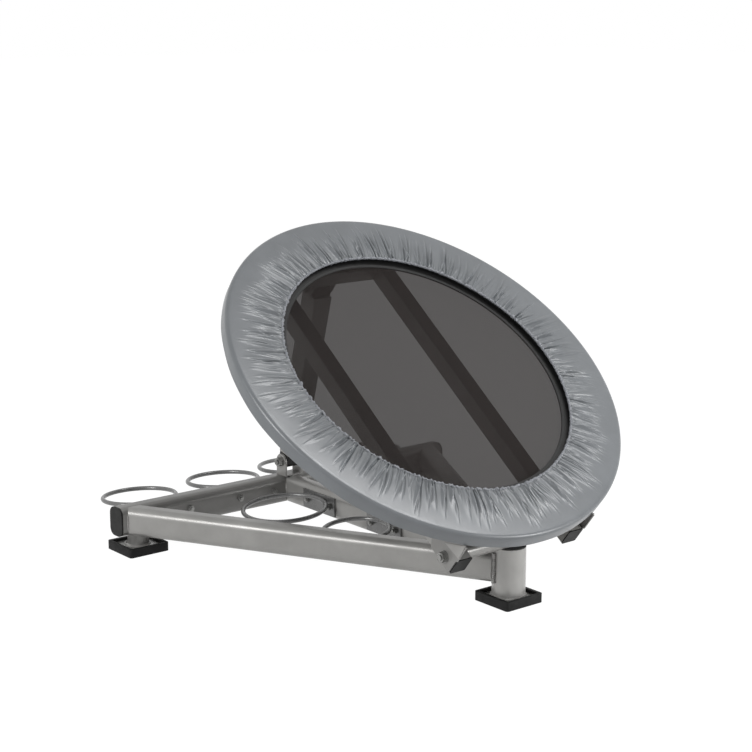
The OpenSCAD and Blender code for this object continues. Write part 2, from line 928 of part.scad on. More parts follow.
// a five lobed clamp knob on its stud, which stops just short of the inner tube
module clamp_knob() {
  stud_gap = 0.3;
  neck = 1.3;
  hub_r = 9;
  hub_len = 8;
  grip_r = 18;
  grip_len = 16;
  lobe_r = 7;
  start = inner_s / 2 + stud_gap;
  collar = strut_s / 2 + boss_len + neck;
  grip = collar + hub_len;
  color(black) in_strut() translate([0, 0, knob_z]) union() {
    bar_y(knob_r, start, collar + 2);
    bar_y(hub_r, collar, grip);
    bar_y(grip_r, grip, grip + grip_len);
    for (k = [0 : 4]) {
      rotate([0, k * 72, 0]) translate([grip_r - 1, 0, 0]) bar_y(lobe_r, grip, grip + grip_len);
    }
  }
}

back_tube();
spine_tube();
left_side_tube();
right_side_tube();
front_post();
post_plug();
pivot_sleeve();
sleeve_bushes();
back_left_cap();
back_right_cap();
front_foot_plate();
front_foot_rubber();
left_foot_stub();
left_foot_plate();
left_foot_rubber();
right_foot_stub();
right_foot_plate();
right_foot_rubber();
strut_bracket();
strut_foot_bolt();
strut_foot_nut();
back_ring_left_outer();
back_ring_left_inner();
back_ring_right_inner();
back_ring_right_outer();
spine_ring_left_rear();
spine_ring_left_front();
spine_ring_right_rear();
spine_ring_right_front();
back_ring_bolts();
spine_ring_bolts();
left_rail();
right_rail();
rail_lower_caps();
rail_upper_caps();
left_gusset();
right_gusset();
left_standoff();
right_standoff();
top_cross_tube();
strut_top_bracket();
strut_top_bolt();
strut_top_nut();
hinge_bolt();
hinge_nut();
ring_frame();
mat();
mat_band();
bungee_cords();
foam_pad();
pad_cover();
elastic_hem();
strut_foot_block();
strut_inner_tube();
strut_outer_tube();
strut_bush();
strut_top_block();
clamp_knob();
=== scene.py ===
# %% [markdown]
# A medicine ball rebounder is a small round trampoline that leans back on a steel base. A ball
# thrown at its mat comes back to the thrower, and the base has rings that hold spare balls.
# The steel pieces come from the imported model, where their sizes were settled, so they only need
# their finish. Cloth, webbing and elastic are hard to make as exact solids. They are modelled
# here as meshes, each in the place of its plain solid.

# %% Load the steel frame and the tools
import json
import math
import random

import bmesh
import bpy
import numpy as np
from mathutils import Matrix, Vector


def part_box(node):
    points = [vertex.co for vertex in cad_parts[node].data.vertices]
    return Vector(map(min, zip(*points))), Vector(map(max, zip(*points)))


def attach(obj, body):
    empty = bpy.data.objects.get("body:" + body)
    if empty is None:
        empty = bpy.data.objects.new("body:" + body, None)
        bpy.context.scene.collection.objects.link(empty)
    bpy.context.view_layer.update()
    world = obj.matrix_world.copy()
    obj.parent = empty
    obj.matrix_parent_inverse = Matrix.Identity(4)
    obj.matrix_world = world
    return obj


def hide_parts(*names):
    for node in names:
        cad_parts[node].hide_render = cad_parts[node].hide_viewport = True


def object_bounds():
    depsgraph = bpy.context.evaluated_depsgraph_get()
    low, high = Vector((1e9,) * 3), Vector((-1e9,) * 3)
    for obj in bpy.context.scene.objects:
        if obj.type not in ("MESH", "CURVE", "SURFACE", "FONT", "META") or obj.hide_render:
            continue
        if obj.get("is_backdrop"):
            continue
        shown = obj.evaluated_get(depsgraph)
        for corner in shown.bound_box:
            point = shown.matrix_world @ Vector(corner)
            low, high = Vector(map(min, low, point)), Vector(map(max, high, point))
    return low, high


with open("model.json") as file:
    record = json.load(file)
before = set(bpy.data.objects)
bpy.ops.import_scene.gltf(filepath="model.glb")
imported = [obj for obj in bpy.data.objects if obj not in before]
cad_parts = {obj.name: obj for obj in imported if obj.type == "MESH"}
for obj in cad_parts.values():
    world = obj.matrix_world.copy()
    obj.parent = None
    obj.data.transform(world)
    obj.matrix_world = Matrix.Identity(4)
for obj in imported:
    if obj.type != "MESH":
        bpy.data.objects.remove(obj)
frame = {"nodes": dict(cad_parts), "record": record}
cad_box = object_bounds()
print("steel pieces", len(frame["nodes"]))

# %% [markdown]
# The photograph was taken from the thrower's left, a little above the pad. A camera can be moved
# by eye until the picture looks right, but it is surer to work out its place from points whose
# real position is known. Here those points are the feet, the tubes and the round pad.

# %% Camera
# Place in metres, angles in degrees and lens in millimetres
CAMERA_PLACE = (-2.3902, -2.5047, 1.2173)
CAMERA_DOWN = 12.15
CAMERA_SIDE = 39.12
CAMERA_ROLL = 0.11
CAMERA_LENS = 84.15


def new_object(name, data):
    thing = bpy.data.objects.new(name, data)
    bpy.context.scene.collection.objects.link(thing)
    return thing


camera_data = bpy.data.cameras.new("camera")
camera_data.lens = CAMERA_LENS
camera = new_object("camera", camera_data)
turn = Matrix.Rotation(math.radians(-CAMERA_SIDE), 4, "Z")
nod = Matrix.Rotation(math.radians(90 - CAMERA_DOWN), 4, "X")
roll = Matrix.Rotation(math.radians(CAMERA_ROLL), 4, "Z")
camera.matrix_world = Matrix.Translation(CAMERA_PLACE) @ turn @ nod @ roll
bpy.context.scene.camera = camera
print("camera lens", CAMERA_LENS, "mm")

# %% [markdown]
# Everything on the trampoline is round and leans back with it. It could be modelled leaning, but
# then every height would be a sum of sines. It is easier to model it lying flat, with its middle
# at zero, and to lay it in its place at the end. The middle of the mat's solid gives the place,
# and the pad's middle plane lies a little above the mat.

# %% Where the trampoline lies
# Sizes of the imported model, which the soft pieces have to meet
TILT = math.radians(37.36)
MAT_DROP = 0.0135
BELOW_RING = 0.020
RING_RADIUS = 0.432
RING_TUBE = 0.013
COVER_RADIUS = 0.457
OPEN_RADIUS = 0.3294
SKIRT_DEPTH = 0.028

mat_low, mat_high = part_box("mat")
mat_middle = (mat_low + mat_high) / 2
lean = Matrix.Rotation(TILT, 4, "X")
pad_middle = mat_middle + lean.to_3x3() @ Vector((0, 0, MAT_DROP))
LAY = Matrix.Translation(pad_middle) @ lean
print("pad middle", [round(v, 4) for v in pad_middle])


# %% [markdown]
# A few helpers keep the cells short. One clears the selection, one gives a finished mesh its
# finish, its place and its smooth shading, and one makes a mesh from rows of points, as a
# knitter makes cloth. A finished mesh keeps its place in its points, so a pattern stays on it.

# %% Modelling helpers
DOUBLES = 1e-6


def deselect():
    bpy.ops.object.select_all(action="DESELECT")


def pick(thing):
    deselect()
    thing.select_set(True)
    bpy.context.view_layer.objects.active = thing


def settle(thing, name, body, finish, lay=None, smooth=35):
    """Names and finishes a piece, lays it in its place and lets it ride on a body."""
    pick(thing)
    bpy.ops.object.transform_apply(location=True, rotation=True, scale=True)
    if lay is not None:
        thing.data.transform(lay)
    thing.name = name
    thing.data.name = name
    thing.data.materials.append(finish)
    bpy.ops.object.shade_smooth_by_angle(angle=math.radians(smooth))
    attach(thing, body)
    print(name, len(thing.data.polygons), "faces")


def grid_mesh(name, points, close_rows):
    """Makes a mesh from a block of points [row][column][x, y, z], whose rows are closed rings."""
    rows, columns = points.shape[:2]
    quads = []
    for r in range(rows if close_rows else rows - 1):
        here = r * columns
        there = ((r + 1) % rows) * columns
        for c in range(columns):
            d = (c + 1) % columns
            quads.append((here + c, here + d, there + d, there + c))
    mesh = bpy.data.meshes.new(name)
    mesh.from_pydata(points.reshape(-1, 3).tolist(), [], quads)
    mesh.update()
    return new_object(name, mesh)


def outward(thing):
    """Turns all faces of a closed piece outwards."""
    shape = bmesh.new()
    shape.from_mesh(thing.data)
    bmesh.ops.remove_doubles(shape, verts=shape.verts, dist=DOUBLES)
    bmesh.ops.recalc_face_normals(shape, faces=shape.faces)
    shape.to_mesh(thing.data)
    shape.free()


def apply_all(thing):
    pick(thing)
    for modifier in list(thing.modifiers):
        bpy.ops.object.modifier_apply(modifier=modifier.name)


def round_edges(thing, width, segments, degrees):
    """Bevels every edge where the surface turns by more than an angle."""
    bevel = thing.modifiers.new("edges", "BEVEL")
    bevel.width = width
    bevel.segments = segments
    bevel.angle_limit = math.radians(degrees)
    apply_all(thing)


def join(things):
    deselect()
    for thing in things:
        thing.select_set(True)
    bpy.context.view_layer.objects.active = things[0]
    bpy.ops.object.join()
    return things[0]


# %% [markdown]
# Shader helpers come next. A node group is a small machine with named inputs and outputs, and
# the same machine can stand in many materials. The nodes could be copied into each material, but
# a group is drawn once and mended once. This one gives soft blotches between two values, for a
# paint's uneven gloss and colour, and a fine height for its grain.

# %% Node group: blotches and grain
BLOTCH_DETAIL = 4.0
BLOTCH_ROUGH = 0.6
BLOTCH_SPREAD = (0.3, 0.7)
GRAIN_DETAIL = 2.0
GRAIN_FINER = 90.0


def new_group(name, inputs, outputs):
    """Starts a node group with its sockets, and gives the group, its entry and its exit."""
    group = bpy.data.node_groups.new(name, "ShaderNodeTree")
    for title, kind, value in inputs:
        socket = group.interface.new_socket(name=title, in_out="INPUT", socket_type=kind)
        if value is not None:
            socket.default_value = value
    for title, kind in outputs:
        group.interface.new_socket(name=title, in_out="OUTPUT", socket_type=kind)
    return group, add(group, "NodeGroupInput"), add(group, "NodeGroupOutput")


def add(tree, kind, **settings):
    node = tree.nodes.new(kind)
    for key, value in settings.items():
        setattr(node, key, value)
    return node


def feed(tree, value, socket):
    """Links another node's output to a socket, or writes a plain number on it."""
    if isinstance(value, (int, float)):
        socket.default_value = value
    else:
        tree.links.new(value, socket)


def math_node(tree, operation, *values):
    node = add(tree, "ShaderNodeMath", operation=operation)
    for place, value in enumerate(values):
        feed(tree, value, node.inputs[place])
    return node.outputs[0]


def remap(tree, value, low, high, new_low, new_high):
    node = add(tree, "ShaderNodeMapRange")
    titles = ("Value", "From Min", "From Max", "To Min", "To Max")
    for title, number in zip(titles, (value, low, high, new_low, new_high)):
        feed(tree, number, node.inputs[title])
    return node.outputs["Result"]


def make_blotches():
    inputs = [
        ("Vector", "NodeSocketVector", None),
        ("Size", "NodeSocketFloat", 8.0),
        ("Low", "NodeSocketFloat", 0.0),
        ("High", "NodeSocketFloat", 1.0),
    ]
    outputs = [("Value", "NodeSocketFloat"), ("Grain", "NodeSocketFloat")]
    group, entry, leave = new_group("blotches", inputs, outputs)
    noise = add(group, "ShaderNodeTexNoise")
    noise.inputs["Detail"].default_value = BLOTCH_DETAIL
    noise.inputs["Roughness"].default_value = BLOTCH_ROUGH
    group.links.new(entry.outputs["Vector"], noise.inputs["Vector"])
    group.links.new(entry.outputs["Size"], noise.inputs["Scale"])
    low, high = entry.outputs["Low"], entry.outputs["High"]
    group.links.new(remap(group, noise.outputs["Fac"], *BLOTCH_SPREAD, low, high), leave.inputs["Value"])
    fine = add(group, "ShaderNodeTexNoise")
    fine.inputs["Detail"].default_value = GRAIN_DETAIL
    finer = math_node(group, "MULTIPLY", entry.outputs["Size"], GRAIN_FINER)
    group.links.new(entry.outputs["Vector"], fine.inputs["Vector"])
    group.links.new(finer, fine.inputs["Scale"])
    group.links.new(fine.outputs["Fac"], leave.inputs["Grain"])
    return group


BLOTCHES = make_blotches()
print("node group", BLOTCHES.name, "with", len(BLOTCHES.nodes), "nodes")


# %% [markdown]
# The mat, its webbing and the cords need patterns that lie in the trampoline's own plane. One
# group turns a point of the model into that plane, and gives its distance from the middle and
# its distance along the ring. A second one makes a plain weave of two crossing waves. A picture
# of cloth could do the same, but waves stay sharp at any size and need no file.

# %% Node groups: ring places and weave
def make_ring_places():
    inputs = [("Vector", "NodeSocketVector", None)]
    outputs = [
        ("Flat", "NodeSocketVector"),
        ("Outward", "NodeSocketFloat"),
        ("Along", "NodeSocketFloat"),
    ]
    group, entry, leave = new_group("ring places", inputs, outputs)
    place = add(group, "ShaderNodeMapping", vector_type="TEXTURE")
    place.inputs["Location"].default_value = pad_middle
    place.inputs["Rotation"].default_value = (TILT, 0, 0)
    group.links.new(entry.outputs["Vector"], place.inputs["Vector"])
    group.links.new(place.outputs["Vector"], leave.inputs["Flat"])
    split = add(group, "ShaderNodeSeparateXYZ")
    group.links.new(place.outputs["Vector"], split.inputs["Vector"])
    x, y = split.outputs["X"], split.outputs["Y"]
    squares = math_node(group, "ADD", math_node(group, "MULTIPLY", x, x), math_node(group, "MULTIPLY", y, y))
    group.links.new(math_node(group, "SQRT", squares), leave.inputs["Outward"])
    angle = math_node(group, "ARCTAN2", y, x)
    group.links.new(math_node(group, "MULTIPLY", angle, OPEN_RADIUS), leave.inputs["Along"])
    return group


def make_weave():
    inputs = [
        ("First", "NodeSocketFloat", 0.0),
        ("Second", "NodeSocketFloat", 0.0),
        ("Pitch", "NodeSocketFloat", 0.001),
    ]
    outputs = [("Height", "NodeSocketFloat"), ("Threads", "NodeSocketFloat")]
    group, entry, leave = new_group("weave", inputs, outputs)
    waves = []
    for title in ("First", "Second"):
        turns = math_node(group, "DIVIDE", entry.outputs[title], entry.outputs["Pitch"])
        waves.append(math_node(group, "SINE", math_node(group, "MULTIPLY", turns, 2 * math.pi)))
    group.links.new(math_node(group, "MULTIPLY", *waves), leave.inputs["Height"])
    sizes = [math_node(group, "ABSOLUTE", wave) for wave in waves]
    group.links.new(math_node(group, "MAXIMUM", *sizes), leave.inputs["Threads"])
    return group


RING_PLACES = make_ring_places()
WEAVE = make_weave()
print("node groups", RING_PLACES.name, "and", WEAVE.name)


# %% [markdown]
# Every material is one Principled shader with numbers of its own. A single flat colour would do
# for a sketch, but real paint and rubber are never quite even. So blotches vary the colour and
# the gloss, and grain or weave goes through a Bump node. Painted steel is a little metallic with
# a satin gloss, and rubber is dark and dull.

# %% Material helpers
GLOSS_FINER = 2.3
GRAIN_DEEP = 0.0002


def new_material(name, colour, rough, metal=0.0, specular=0.5):
    material = bpy.data.materials.new(name)
    material.use_nodes = True
    tree = material.node_tree
    shader = tree.nodes["Principled BSDF"]
    shader.inputs["Base Color"].default_value = (*colour, 1)
    shader.inputs["Roughness"].default_value = rough
    shader.inputs["Metallic"].default_value = metal
    shader.inputs["Specular IOR Level"].default_value = specular
    return material, tree, shader


def object_vector(tree):
    return add(tree, "ShaderNodeTexCoord").outputs["Object"]


def place_group(tree, group, **values):
    node = add(tree, "ShaderNodeGroup", node_tree=group)
    for title, value in values.items():
        feed(tree, value, node.inputs[title])
    return node


def colour_between(tree, amount, first, second):
    mix = add(tree, "ShaderNodeMix", data_type="RGBA")
    tree.links.new(amount, mix.inputs["Factor"])
    mix.inputs["A"].default_value = (*first, 1)
    mix.inputs["B"].default_value = (*second, 1)
    return mix.outputs["Result"]


def bump(tree, shader, height, strength, depth):
    node = add(tree, "ShaderNodeBump")
    node.inputs["Strength"].default_value = strength
    node.inputs["Distance"].default_value = depth
    tree.links.new(height, node.inputs["Height"])
    tree.links.new(node.outputs["Normal"], shader.inputs["Normal"])


def worn_material(name, dark, light, gloss, size, grain, metal=0.0, specular=0.5):
    """A finish whose colour and gloss wander a little, with a fine grain."""
    material, tree, shader = new_material(name, light, gloss[0], metal, specular)
    vector = object_vector(tree)
    tone = place_group(tree, BLOTCHES, Vector=vector, Size=size, Low=0.0, High=1.0)
    tree.links.new(colour_between(tree, tone.outputs["Value"], dark, light), shader.inputs["Base Color"])
    shine = place_group(tree, BLOTCHES, Vector=vector, Size=size * GLOSS_FINER, Low=gloss[0], High=gloss[1])
    tree.links.new(shine.outputs["Value"], shader.inputs["Roughness"])
    bump(tree, shader, shine.outputs["Grain"], grain, GRAIN_DEEP)
    return material


# %% [markdown]
# Each finish is two colours and two values of gloss, between which it wanders, the size of its
# blotches and the strength of its grain. All the steel has the same silver paint, but the gussets
# and the back tube take a darker copy of it, which is painted shade from the pad above them, and
# the post takes a lighter copy, which is painted light. Rods, bolts and weld beads catch the lamps
# on their round sides, so their own colours are darker than they look.

# %% Metal, plastic and rubber finishes
PAINT = {"size": 9.0, "grain": 0.12, "metal": 0.28, "specular": 0.35}
PLASTIC = {"gloss": (0.45, 0.6), "size": 20.0, "grain": 0.25}

SILVER = worn_material("silver_paint", (0.270, 0.266, 0.256), (0.340, 0.335, 0.324), (0.28, 0.40), **PAINT)
# A darker copy of the silver paint: painted shade for the steel under the pad
SILVER_PAINTED_SHADE = worn_material("silver_with_painted_shade", (0.200, 0.197, 0.190), (0.255, 0.251, 0.243), (0.30, 0.42), **PAINT)
# A lighter copy of the silver paint: painted light on the post
SILVER_PAINTED_LIGHT = worn_material("silver_with_painted_light", (0.350, 0.345, 0.333), (0.440, 0.434, 0.420), (0.28, 0.40), **PAINT)
ROD = worn_material(
    "bright_rod",
    (0.13, 0.13, 0.13),
    (0.19, 0.19, 0.188),
    gloss=(0.22, 0.32),
    size=14.0,
    grain=0.05,
    metal=0.35,
)
ZINC = worn_material(
    "zinc_steel",
    (0.17, 0.17, 0.165),
    (0.31, 0.31, 0.30),
    gloss=(0.22, 0.40),
    size=40.0,
    grain=0.2,
    metal=0.7,
)
WELD = worn_material(
    "weld_bead",
    (0.22, 0.217, 0.210),
    (0.36, 0.355, 0.345),
    gloss=(0.30, 0.5),
    size=160.0,
    grain=0.3,
    metal=0.22,
    specular=0.4,
)
BLACK = worn_material("black_plastic", (0.010, 0.010, 0.010), (0.018, 0.018, 0.018), **PLASTIC, specular=0.3)
CAP = worn_material("cap_plastic", (0.014, 0.014, 0.014), (0.022, 0.022, 0.021), **PLASTIC, specular=0.15)
RUBBER = worn_material(
    "foot_rubber",
    (0.006, 0.006, 0.006),
    (0.012, 0.012, 0.012),
    gloss=(0.55, 0.75),
    size=26.0,
    grain=0.4,
    specular=0.2,
)
NYLON = worn_material(
    "white_nylon",
    (0.62, 0.62, 0.58),
    (0.74, 0.74, 0.71),
    gloss=(0.35, 0.5),
    size=30.0,
    grain=0.1,
)

SLOT_FINISH = {
    "silver_paint": SILVER,
    "bright_rod": ROD,
    "zinc_steel": ZINC,
    "black_plastic": BLACK,
    "foot_rubber": RUBBER,
    "white_nylon": NYLON,
}
NODE_FINISH = {
    # The gussets and the back tube take the silver with painted shade
    "left_gusset": SILVER_PAINTED_SHADE,
    "right_gusset": SILVER_PAINTED_SHADE,
    "back_tube": SILVER_PAINTED_SHADE,
    # The post takes the silver with painted light
    "front_post": SILVER_PAINTED_LIGHT,
    "back_left_cap": CAP,
    "back_right_cap": CAP,
    "rail_lower_caps": CAP,
    "rail_upper_caps": CAP,
}
finished = 0
for part in frame["record"]["subparts"]:
    finish = NODE_FINISH.get(part["node"], SLOT_FINISH.get(part["material_slot"]))
    if finish is None:
        continue
    node = frame["nodes"][part["node"]]
    node.data.materials.clear()
    node.data.materials.append(finish)
    finished += 1
print("steel, plastic and rubber pieces finished", finished)

# %% [markdown]
# The cover is grey coated cloth. Its gloss makes each gather shine on one side and go dark on the
# other. Bump alone would look flat at the cover's edge, so the shape carries the gathers, and
# the material only adds a fine leather grain. The mat is a net of threads too thin to model, so
# its threads are a pattern of opacity. The webbing and the cords are black and plainly woven.

# %% Cover, hem, mat, webbing, cord and foam finishes
MESH_PITCH = 0.0016
MESH_CLEAR = 0.67
MESH_DENSE = 0.75
MESH_BUMP = 0.4
THREAD_START = 0.2
WEAVE_LIGHTER = 2.2
WEAVE_BUMP = 0.5
WEAVE_DEEP = 0.0003
WEBBING_PITCH = 0.0022
CORD_PITCH = 0.0014

VINYL = worn_material(
    "pad_vinyl",
    (0.126, 0.135, 0.143),
    (0.150, 0.160, 0.170),
    gloss=(0.28, 0.36),
    size=12.0,
    grain=0.06,
)
HEM = worn_material(
    "hem_elastic",
    (0.13, 0.137, 0.15),
    (0.26, 0.27, 0.295),
    gloss=(0.30, 0.45),
    size=260.0,
    grain=0.4,
)
FOAM = worn_material(
    "pad_foam",
    (0.02, 0.02, 0.021),
    (0.035, 0.035, 0.036),
    gloss=(0.8, 0.95),
    size=30.0,
    grain=0.8,
    specular=0.2,
)
THREAD = worn_material(
    "sewing_thread",
    (0.03, 0.03, 0.03),
    (0.05, 0.05, 0.05),
    gloss=(0.5, 0.7),
    size=60.0,
    grain=0.2,
)


def make_mat_finish():
    material, tree, shader = new_material("mat_mesh", (0.017, 0.0135, 0.0125), 0.7, specular=0.1)
    places = place_group(tree, RING_PLACES, Vector=object_vector(tree))
    split = add(tree, "ShaderNodeSeparateXYZ")
    tree.links.new(places.outputs["Flat"], split.inputs["Vector"])
    weave = place_group(tree, WEAVE, First=split.outputs["X"], Second=split.outputs["Y"], Pitch=MESH_PITCH)
    opacity = remap(tree, weave.outputs["Threads"], THREAD_START, 1.0, MESH_CLEAR, MESH_DENSE)
    tree.links.new(opacity, shader.inputs["Alpha"])
    bump(tree, shader, weave.outputs["Height"], MESH_BUMP, GRAIN_DEEP)
    return material


def make_webbing_finish(name, colour, pitch):
    material, tree, shader = new_material(name, colour, 0.6, specular=0.35)
    places = place_group(tree, RING_PLACES, Vector=object_vector(tree))
    outward_place, along_place = places.outputs["Outward"], places.outputs["Along"]
    weave = place_group(tree, WEAVE, First=outward_place, Second=along_place, Pitch=pitch)
    lighter = tuple(WEAVE_LIGHTER * c for c in colour)
    tone = remap(tree, weave.outputs["Height"], -1.0, 1.0, 0.0, 1.0)
    tree.links.new(colour_between(tree, tone, colour, lighter), shader.inputs["Base Color"])
    bump(tree, shader, weave.outputs["Height"], WEAVE_BUMP, WEAVE_DEEP)
    return material


MESH = make_mat_finish()
WEBBING = make_webbing_finish("black_webbing", (0.006, 0.006, 0.006), WEBBING_PITCH)
CORD = make_webbing_finish("elastic_cord", (0.010, 0.010, 0.010), CORD_PITCH)
print("materials made", len(bpy.data.materials))

# %% [markdown]
# The cover is one sheet of coated cloth. It lies over the foam, turns down over the outside as a
# skirt, and its inner edge is drawn in by elastic. First comes its smooth section, as a list of
# distances from the middle and heights: out over the pad, round the shoulder, down the skirt and
# back underneath. Rows stand closer together near the elastic, where the folds are finest.

# %% Section of the pad cover
HEM_START = OPEN_RADIUS + 0.0035
SHOULDER_ROUND = 0.0085
SHOULDER = COVER_RADIUS - SHOULDER_ROUND
SHOULDER_TURNS = (22, 45, 68, 90)
PUCKER_LONG = 0.020
PUCKER_ROWS = 6
FLAT_ROWS = 18
TOP_ROWS = PUCKER_ROWS + FLAT_ROWS - 1
HEM_UP = 0.0028
CROWN = 0.0026
CROWN_FULLNESS = 0.9
EDGE_RISE = 0.0006
SKIRT_MIDDLE = 0.016
INSIDE = COVER_RADIUS - 0.0012
# Distance from the middle and height of the rows underneath
UNDERSIDE = (
    (INSIDE, -SKIRT_DEPTH),
    (INSIDE, -0.012),
    (INSIDE - 0.001, -0.004),
    (SHOULDER, 0.0022),
    (0.39, 0.0016),
    (HEM_START + 0.003, 0.0008),
)


def cover_profile():
    """Distance from the middle and height of the sheet, out over the pad and back underneath."""
    pucker_end = HEM_START + PUCKER_LONG
    puckered = np.linspace(HEM_START, pucker_end, PUCKER_ROWS + 1)[:-1]
    flat = np.linspace(pucker_end, SHOULDER, FLAT_ROWS)
    out = []
    for r in [*puckered, *flat]:
        part = (r - HEM_START) / (SHOULDER - HEM_START)
        crown = CROWN * math.sin(math.pi * min(1, part)) ** CROWN_FULLNESS
        out.append((r, HEM_UP + crown + EDGE_RISE * part))
    for degrees in SHOULDER_TURNS:
        turn = math.radians(degrees)
        drop = SHOULDER_ROUND * (1 - math.cos(turn))
        out.append((SHOULDER + SHOULDER_ROUND * math.sin(turn), HEM_UP + EDGE_RISE - drop))
    for depth in (SKIRT_MIDDLE, SKIRT_DEPTH):
        out.append((COVER_RADIUS, -depth))
    return np.array([*out, *UNDERSIDE])


profile = cover_profile()
print("cover section", len(profile), "points, highest", round(profile[:, 1].max(), 4))

# %% [markdown]
# The elastic draws the cloth together, and the spare cloth stands up in gathers: each one starts
# as a point out on the pad, grows towards the elastic and narrows there. A cloth simulation could
# make them, but folds a few millimetres wide would need millions of points. So they are laid out
# one by one from a seeded list, as a sculptor would draw them. There are long folds, short ones
# between them, and small puckers at the hem. Each has a gentle flank and a steep one.

# %% Gathers of the pad cover
COLUMNS = 2700
# How many folds of each kind there are, and the least and most of their length, height and width,
# and how far they may lean for each metre inwards
FOLDS = (
    (150, (0.074, 0.114), (0.0022, 0.0040), (0.0028, 0.0044), 0.12),
    (200, (0.036, 0.092), (0.0010, 0.0020), (0.0016, 0.0026), 0.20),
    (330, (0.008, 0.024), (0.0006, 0.0013), (0.0011, 0.0018), 0.0),
)
FOLD_SEED = 11
# How far a fold may stand from its even place, as a share of the gap, and how far it may bow
FOLD_SCATTER = 0.42
FOLD_BOW = 0.03
# The steep flanks of the folds at the front and at the back face opposite ways, mixed between
SIDE_MIX = 0.7
# The shape across a fold, in widths: its reach, both flanks, and the crease beside the steep one
FOLD_SPREAD = 4
GENTLE_FLANK = 1.3
STEEP_FLANK = 0.5
CREASE_SHARE = 0.6
CREASE_PLACE = 1.1
CREASE_SHARP = 5
# The shape along a fold, from its tip to the hem
TIP_WIDTH = 0.28
TIP_FADE = 1.5
TIP_SOFT = 1.5
BELLY_START = 0.15
BELLY_SPAN = 0.7
HEM_LOSS = 0.3
DEEPEST_CREASE = 0.0028
# The skirt draws in towards its lower edge and wanders there: size, waves round the pad, start
SKIRT_IN = 0.0009
SKIRT_WAVES = ((0.0005, 9, 1.3), (0.0003, 23, 0.0))


def ridge(across):
    """The section of a gather: a gentle flank, a crest, a steep flank and a narrow crease."""
    gentle = np.exp(-((across / GENTLE_FLANK) ** 2))
    crease = CREASE_SHARE * np.exp(-((across - CREASE_PLACE) ** 2) * CREASE_SHARP)
    steep = np.exp(-((across / STEEP_FLANK) ** 2)) - crease
    return np.where(across < 0, gentle, steep)


def add_gather(height, angle, radius, middle, fold, side):
    """Raises one gather, which fades in from its tip and is narrowest at the tip and the hem."""
    tip, size, width, drift, bow = fold
    reach = np.clip((tip - radius) / (tip - HEM_START), 0, 1)
    away = (angle - middle + math.pi) % (2 * math.pi) - math.pi
    across = away * radius - drift * (tip - radius) - bow * np.sin(math.pi * reach)
    fade = np.sin(0.5 * math.pi * np.minimum(1, TIP_FADE * reach)) ** TIP_SOFT
    rise = fade * (1 - HEM_LOSS * reach**4)
    belly = np.sin(math.pi * (BELLY_START + BELLY_SPAN * reach))
    narrow = width * (TIP_WIDTH + (1 - TIP_WIDTH) * belly)
    near = (np.abs(across) < FOLD_SPREAD * width) & (reach > 0)
    height[near] += (size * rise * ridge(side * across / narrow))[near]


def gathers(angle, radius):
    """The height of all gathers at each point of the cover's top."""
    height = np.zeros_like(radius)
    rng = random.Random(FOLD_SEED)
    for count, length, size, width, drift in FOLDS:
        for i in range(count):
            middle = 2 * math.pi * (i + rng.uniform(-FOLD_SCATTER, FOLD_SCATTER)) / count
            fold = (
                HEM_START + rng.uniform(*length),
                rng.uniform(*size),
                rng.uniform(*width),
                rng.uniform(-drift, drift),
                rng.uniform(-FOLD_BOW, FOLD_BOW) * length[1],
            )
            side = 1 if rng.uniform(-SIDE_MIX, SIDE_MIX) > math.sin(middle) else -1
            add_gather(height, angle, radius, middle, fold, side)
    height = np.maximum(height, -DEEPEST_CREASE)
    # From the shoulder on, the cloth is smooth
    height[TOP_ROWS:] = 0
    return height


def make_cover():
    angle, radius = np.meshgrid(2 * math.pi * np.arange(COLUMNS) / COLUMNS, profile[:, 0])
    up = profile[:, 1][:, None] + gathers(angle, radius)
    wander = sum(size * np.sin(angle * count + start) for size, count, start in SKIRT_WAVES)
    low = np.clip(-up / SKIRT_DEPTH, 0, 1)
    out = radius - low * (SKIRT_IN + wander)
    points = np.stack([out * np.cos(angle), out * np.sin(angle), up], axis=2)
    cover = grid_mesh("cover", points, close_rows=True)
    outward(cover)
    settle(cover, "gathered_cover", "trampoline", VINYL, LAY, smooth=60)
    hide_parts("pad_cover")
    return cover


cover = make_cover()

# %% [markdown]
# The hem is a tunnel of the same cloth, sewn round an elastic. The elastic draws it into hundreds
# of small puckers that catch the light like beads. Beads could be modelled one by one, but they
# run into each other on the real hem. So it is one ring whose thickness swells at each pucker,
# most on top, and whose inner edge wanders in slow waves.

# %% Elastic hem
HEM_THICK = 0.0044
HEM_COLUMNS = 1800
HEM_SIDES = 12
HEM_MIDDLE_UP = 0.0018
HEM_WAVES = 7
HEM_WAVE_SIZE = 0.0004
HEM_SEED = 5
PUCKERS = 230
PUCKER_SCATTER = 0.4
PUCKER_SIZE = (0.4, 1.0)
PUCKER_COLUMNS = (1.8, 3.4)
BETWEEN_PUCKERS = 0.50
PUCKER_SWELL = 0.72
INNER_SHARE = 0.5


def hem_puckers():
    """How far the hem swells at each of its columns."""
    rng = random.Random(HEM_SEED)
    swell = np.zeros(HEM_COLUMNS)
    columns = np.arange(HEM_COLUMNS)
    for i in range(PUCKERS):
        middle = HEM_COLUMNS * (i + rng.uniform(-PUCKER_SCATTER, PUCKER_SCATTER)) / PUCKERS
        away = (columns - middle + HEM_COLUMNS / 2) % HEM_COLUMNS - HEM_COLUMNS / 2
        swell += rng.uniform(*PUCKER_SIZE) * np.exp(-((away / rng.uniform(*PUCKER_COLUMNS)) ** 2))
    return swell


